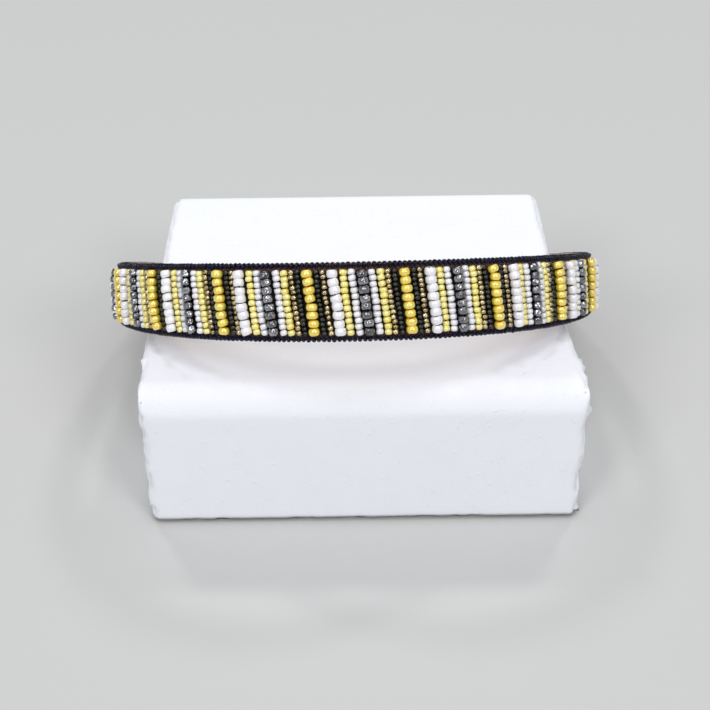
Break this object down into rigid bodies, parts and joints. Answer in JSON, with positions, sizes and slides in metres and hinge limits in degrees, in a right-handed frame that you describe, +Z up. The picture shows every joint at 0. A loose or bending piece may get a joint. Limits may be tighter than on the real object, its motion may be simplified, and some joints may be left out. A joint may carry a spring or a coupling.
{
  "type": "beaded headband on a display block",
  "caption": "Stiff U-shaped headband sewn with leaning strings of yellow, white, black, gold and gunmetal beads, edged with fine black beads, resting on a plain foam block.",
  "frame": {"origin": "middle of the display block's base, on the surface that it stands on", "axes": "+Z up, +X across the band to the right as seen from the beaded front, +Y from the beaded front towards the two tips"},
  "size_m": [0.1508, 0.1327, 0.0806],
  "materials": {
    "foam": "white expanded foam, cut faces with fine pits",
    "suede": "tan suede, matt nap",
    "ground_cloth": "dark brown felt, matt",
    "jet_beads": "opaque black glass, glossy",
    "yellow_beads": "opaque yellow glass with a pearl lustre",
    "white_beads": "opaque white glass, glossy",
    "gunmetal_beads": "gunmetal coated cut glass",
    "gold_beads": "antique gold coated glass"
  },
  "bodies": {
    "root": {"display_block": "foam", "lining": "suede", "ground_cloth": "ground_cloth", "edging_upper": "jet_beads", "edging_lower": "jet_beads", "yellow_string_01": "yellow_beads", "yellow_string_02": "yellow_beads", "yellow_string_03": "yellow_beads", "yellow_string_04": "yellow_beads", "yellow_string_05": "yellow_beads", "yellow_string_06": "yellow_beads", "yellow_string_07": "yellow_beads", "yellow_string_08": "yellow_beads", "yellow_string_09": "yellow_beads", "yellow_string_10": "yellow_beads", "yellow_string_11": "yellow_beads", "yellow_string_12": "yellow_beads", "white_string_01": "white_beads", "white_string_02": "white_beads", "white_string_03": "white_beads", "white_string_04": "white_beads", "white_string_05": "white_beads", "white_string_06": "white_beads", "white_string_07": "white_beads", "white_string_08": "white_beads", "white_string_09": "white_beads", "white_string_10": "white_beads", "white_string_11": "white_beads", "white_string_12": "white_beads", "gunmetal_string_01": "gunmetal_beads", "gunmetal_string_02": "gunmetal_beads", "gunmetal_string_03": "gunmetal_beads", "gunmetal_string_04": "gunmetal_beads", "gunmetal_string_05": "gunmetal_beads", "gunmetal_string_06": "gunmetal_beads", "gunmetal_string_07": "gunmetal_beads", "gunmetal_string_08": "gunmetal_beads", "gunmetal_string_09": "gunmetal_beads", "gunmetal_string_10": "gunmetal_beads", "gunmetal_string_11": "gunmetal_beads"}
  },
  "joints": []
}
